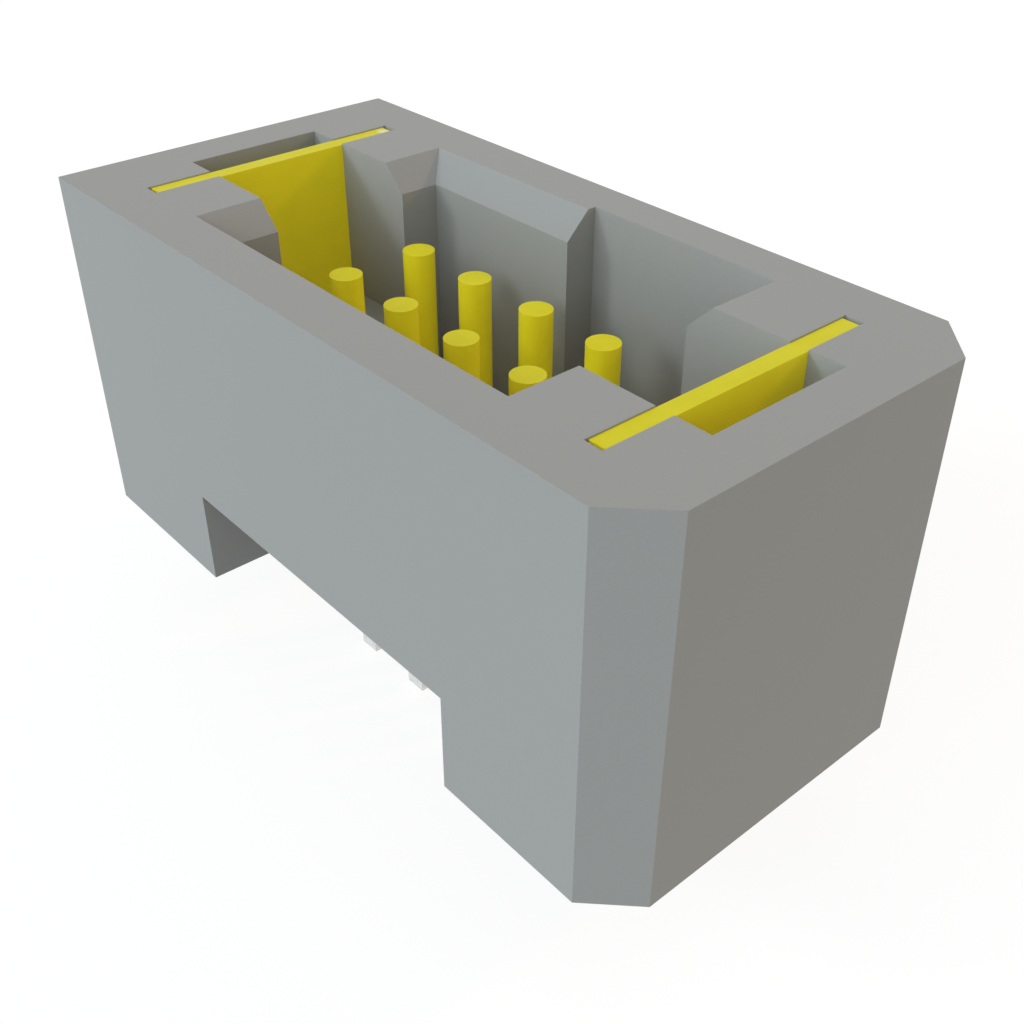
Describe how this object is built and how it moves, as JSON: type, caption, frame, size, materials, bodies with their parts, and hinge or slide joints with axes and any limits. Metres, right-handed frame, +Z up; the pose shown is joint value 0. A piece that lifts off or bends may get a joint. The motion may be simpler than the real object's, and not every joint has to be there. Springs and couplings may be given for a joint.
{
  "type": "pin header",
  "caption": "Shrouded through-hole pin header: a grey moulded housing with a keyed plug cavity, round contacts with flat board tails, and a metal plate across each end.",
  "frame": {"origin": "centre of the seating plane, where the feet meet the board, in the middle of the tail field", "axes": "+X along the housing to the end with the bevelled corners, +Y to the wall with the key recess, +Z up, the way the plug leaves"},
  "size_m": [0.0186, 0.009, 0.0119],
  "materials": {
    "housing_plastic": "plain moulded, matte",
    "contact_metal": "gold plated, satin, with tinned tails",
    "plate_metal": "gold coloured plating, satin"
  },
  "bodies": {
    "root": {"housing": "housing_plastic", "front_contact_1": "contact_metal", "front_contact_2": "contact_metal", "front_contact_3": "contact_metal", "front_contact_4": "contact_metal", "rear_contact_1": "contact_metal", "rear_contact_2": "contact_metal", "rear_contact_3": "contact_metal", "rear_contact_4": "contact_metal", "left_end_plate": "plate_metal", "right_end_plate": "plate_metal"}
  },
  "joints": []
}
